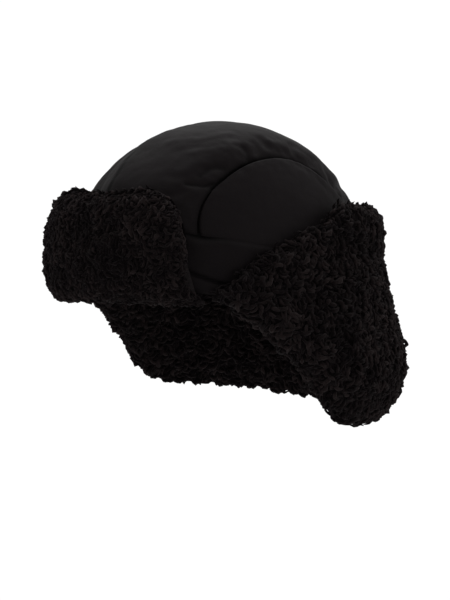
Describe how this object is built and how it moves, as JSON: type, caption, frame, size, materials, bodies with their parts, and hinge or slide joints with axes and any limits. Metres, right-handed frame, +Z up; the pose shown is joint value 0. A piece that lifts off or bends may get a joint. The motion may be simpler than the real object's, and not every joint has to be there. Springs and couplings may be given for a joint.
{
  "type": "trapper hat",
  "caption": "Black trapper hat with a padded nylon crown and band, and a turned-up peak and ear flaps faced in curly fleece.",
  "frame": {"origin": "middle of the head opening at the level of the rim, where the hat sits on a head", "axes": "+Z up, -Y to the front of the wearer's head, +X to the wearer's left; the hat leans back by 12.25 degrees about X"},
  "size_m": [0.2466, 0.2599, 0.2181],
  "materials": {
    "crown_nylon": "fine nylon weave over padding, low sheen",
    "band_nylon": "fine nylon weave over padding, low sheen",
    "sherpa": "curly sherpa fleece, matt pile"
  },
  "bodies": {
    "root": {"crown_centre_panel": "crown_nylon", "crown_side_panel_left": "crown_nylon", "crown_side_panel_right": "crown_nylon", "lower_band": "band_nylon", "peak_backing": "crown_nylon", "peak_fleece": "sherpa", "ear_flap_backing_left": "crown_nylon", "ear_flap_backing_right": "crown_nylon", "ear_flap_fleece_left": "sherpa", "ear_flap_fleece_right": "sherpa"}
  },
  "joints": []
}
